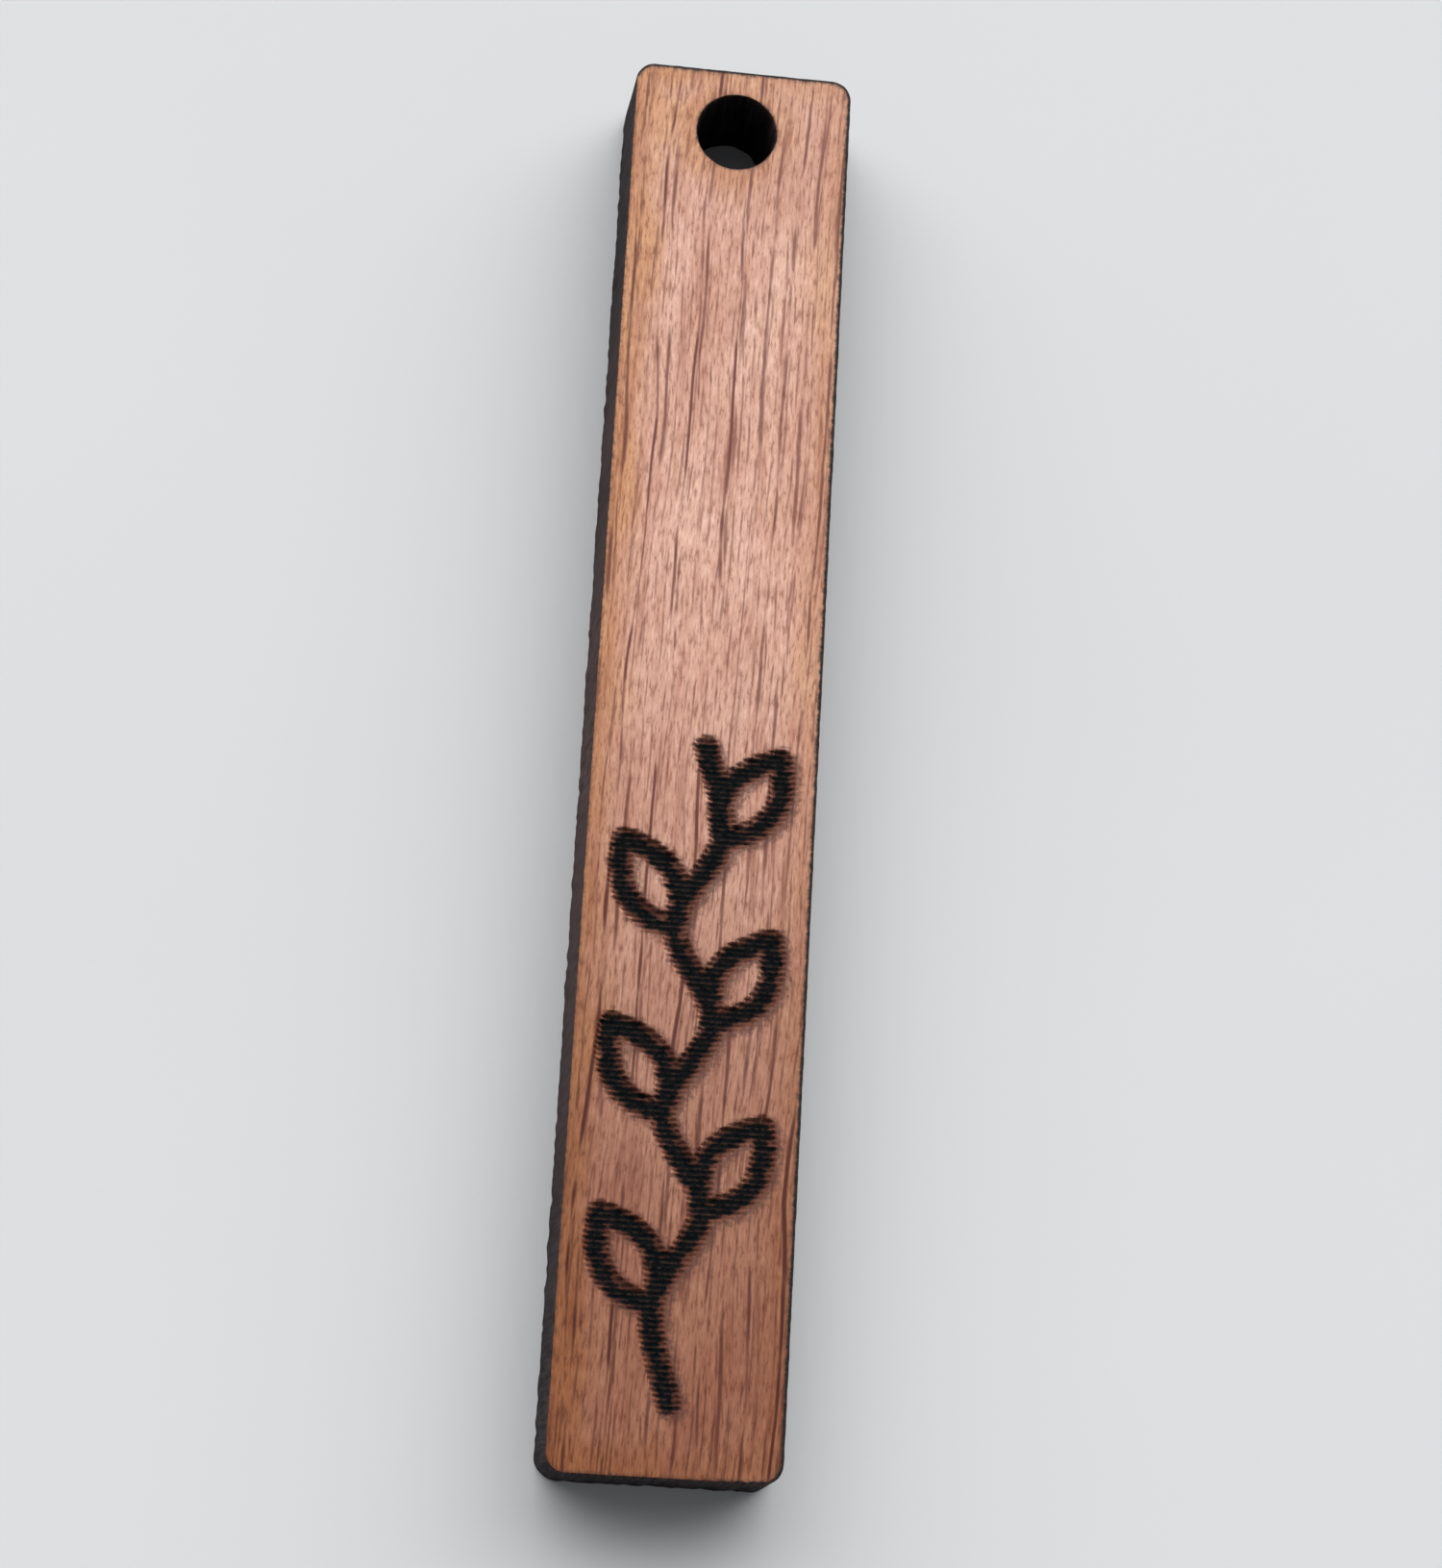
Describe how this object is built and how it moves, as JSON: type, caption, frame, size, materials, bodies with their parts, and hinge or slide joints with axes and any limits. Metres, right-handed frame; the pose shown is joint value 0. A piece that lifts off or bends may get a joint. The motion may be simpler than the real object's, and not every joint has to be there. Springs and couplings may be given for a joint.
{
  "type": "wooden keychain tag",
  "caption": "Slim bar-shaped wooden key tag, laser cut from veneered board, with rounded corners, a ring hole near one end and a burnt vine ornament.",
  "frame": {"origin": "centre of the underside, midway along the length and the width", "axes": "+Y along the length towards the ring hole, +Z out of the front face, +X to the right of the front face with the hole at the top"},
  "size_m": [0.0132, 0.0814, 0.0063],
  "materials": {
    "face_wood": "bare pink-brown hardwood veneer, matt, scorched at its edges and in the burnt strokes",
    "charred_core": "laser-charred cut edge, near black, matt",
    "back_wood": "bare pink-brown hardwood veneer, matt, smoke-tinted near its edges"
  },
  "bodies": {
    "root": {"face_veneer": "face_wood", "core_board": "charred_core", "back_veneer": "back_wood"}
  },
  "joints": []
}
